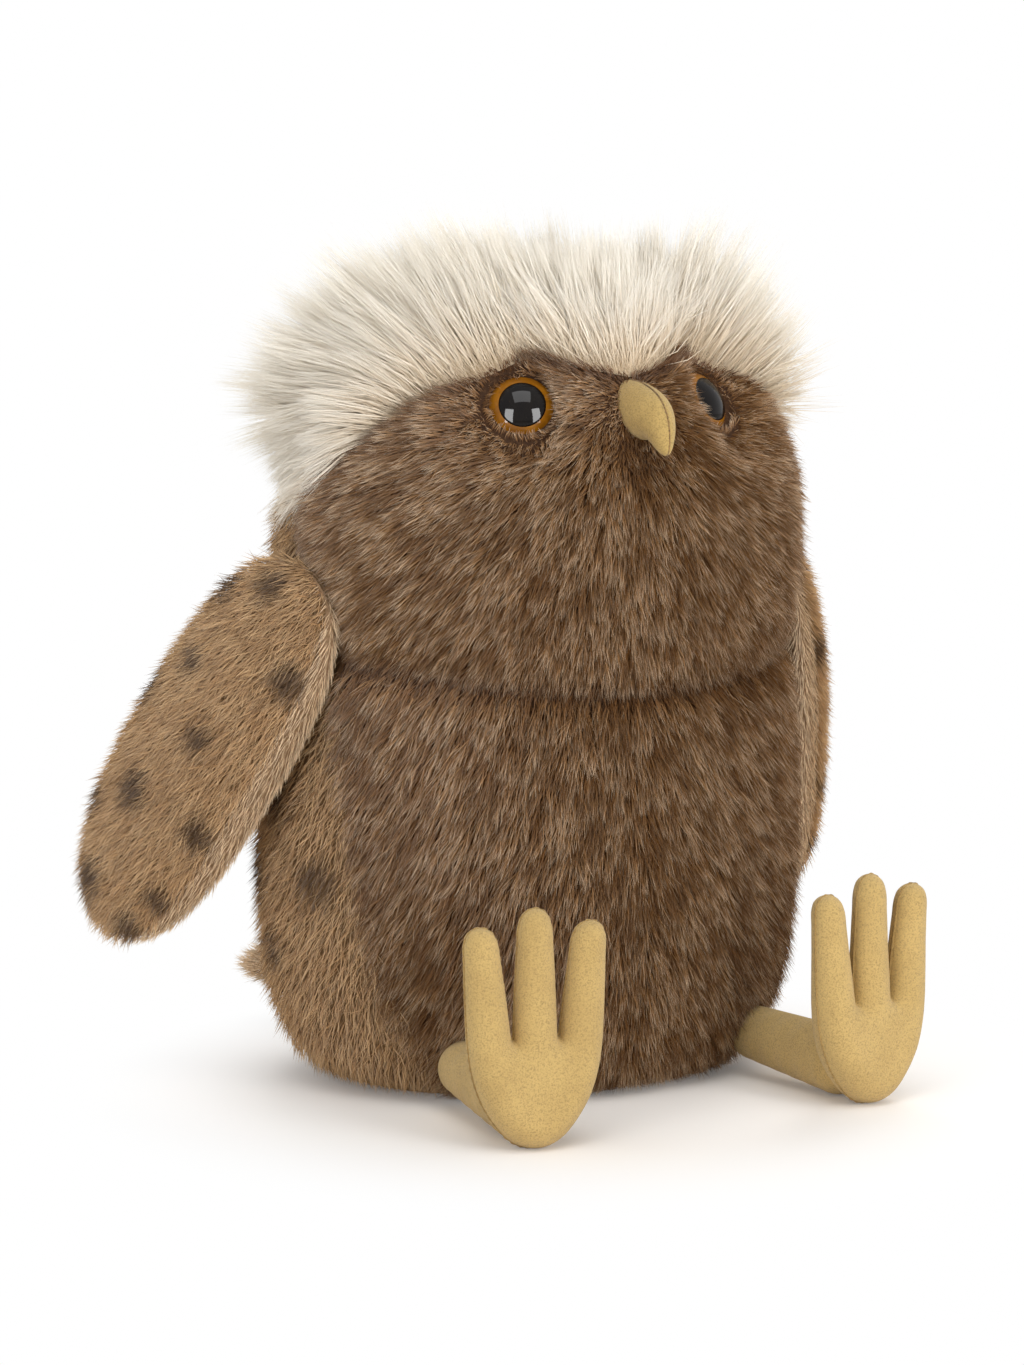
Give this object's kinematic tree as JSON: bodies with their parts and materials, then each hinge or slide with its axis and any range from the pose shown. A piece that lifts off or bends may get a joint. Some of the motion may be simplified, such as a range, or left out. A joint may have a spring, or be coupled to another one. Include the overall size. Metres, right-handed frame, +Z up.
{
  "type": "plush owl",
  "caption": "Seated plush owl with a long-piled white crown, round eyes, a hooked beak, flapping wings, a flat tail, and bendable legs with upright toed feet.",
  "frame": {"origin": "centre of the flat base that the owl sits on, on the floor plane", "axes": "+Z up, the owl faces -Y, +X towards the owl's left wing"},
  "size_m": [0.2134, 0.1977, 0.2105],
  "materials": {
    "mottled_fur": "mottled brown pile about 9 mm long with pale tips",
    "white_pile": "off-white pile about 30 mm long",
    "spotted_fur": "short tan pile with dark brown spots",
    "beige_fur": "short plain beige pile",
    "yellow_suede": "short-napped yellow suedette",
    "filling": "loose polyester filling",
    "bag_cloth": "plain woven cloth bag of pellets",
    "amber_plastic": "clear amber moulding",
    "black_plastic": "polished black",
    "white_plastic": "plain moulded"
  },
  "bodies": {
    "torso": {"back_panel_left": "spotted_fur", "back_panel_right": "spotted_fur", "base_panel": "spotted_fur", "beak_filling": "filling", "beak_flank_left": "yellow_suede", "beak_flank_right": "yellow_suede", "belly_panel_left": "mottled_fur", "belly_panel_right": "mottled_fur", "body_filling": "filling", "crown_panel": "white_pile", "eye_pupil_left": "black_plastic", "eye_pupil_right": "black_plastic", "eye_ring_left": "amber_plastic", "eye_ring_right": "amber_plastic", "eye_washer_left": "white_plastic", "eye_washer_right": "white_plastic", "face_panel_left": "mottled_fur", "face_panel_right": "mottled_fur", "head_filling": "filling", "pellet_bag": "bag_cloth"},
    "wing_right": {"wing_filling_right": "filling", "wing_inner_right": "beige_fur", "wing_outer_right": "spotted_fur"},
    "wing_left": {"wing_filling_left": "filling", "wing_inner_left": "beige_fur", "wing_outer_left": "spotted_fur"},
    "leg_right": {"leg_filling_right": "filling", "leg_sleeve_right": "yellow_suede"},
    "leg_left": {"leg_filling_left": "filling", "leg_sleeve_left": "yellow_suede"},
    "foot_right": {"foot_back_right": "yellow_suede", "foot_filling_right": "filling", "foot_front_right": "yellow_suede"},
    "foot_left": {"foot_back_left": "yellow_suede", "foot_filling_left": "filling", "foot_front_left": "yellow_suede"},
    "tail": {"tail_filling": "filling", "tail_under": "spotted_fur", "tail_upper": "spotted_fur"}
  },
  "joints": [
    {"name": "wing_right_seam", "type": "hinge", "parent": "torso", "child": "wing_right", "pos_m": [-0.06766, -0.0175, 0.139], "axis": [0, 0.3551, 0.9348], "range_deg": [0, 70], "stiffness_Nm_per_rad": 0.03},
    {"name": "wing_left_seam", "type": "hinge", "parent": "torso", "child": "wing_left", "pos_m": [0.06766, -0.0175, 0.139], "axis": [0, -0.3551, -0.9348], "range_deg": [0, 70], "stiffness_Nm_per_rad": 0.03},
    {"name": "leg_right_hip", "type": "hinge", "parent": "torso", "child": "leg_right", "pos_m": [-0.043, -0.0435, 0.0105], "axis": [-1, 0, 0], "range_deg": [-60, 12], "stiffness_Nm_per_rad": 0.02},
    {"name": "leg_left_hip", "type": "hinge", "parent": "torso", "child": "leg_left", "pos_m": [0.043, -0.0435, 0.0105], "axis": [-1, 0, 0], "range_deg": [-60, 12], "stiffness_Nm_per_rad": 0.02},
    {"name": "foot_right_ankle", "type": "hinge", "parent": "leg_right", "child": "foot_right", "pos_m": [-0.0468, -0.0755, 0.0088], "axis": [0.991, -0.134, 0], "range_deg": [-10, 30], "stiffness_Nm_per_rad": 0.02},
    {"name": "foot_left_ankle", "type": "hinge", "parent": "leg_left", "child": "foot_left", "pos_m": [0.0468, -0.0755, 0.0088], "axis": [0.991, 0.134, 0], "range_deg": [-10, 30], "stiffness_Nm_per_rad": 0.02},
    {"name": "tail_root", "type": "hinge", "parent": "torso", "child": "tail", "pos_m": [0, 0.05872, 0.0125], "axis": [1, 0, 0], "range_deg": [-5, 35], "stiffness_Nm_per_rad": 0.03}
  ]
}
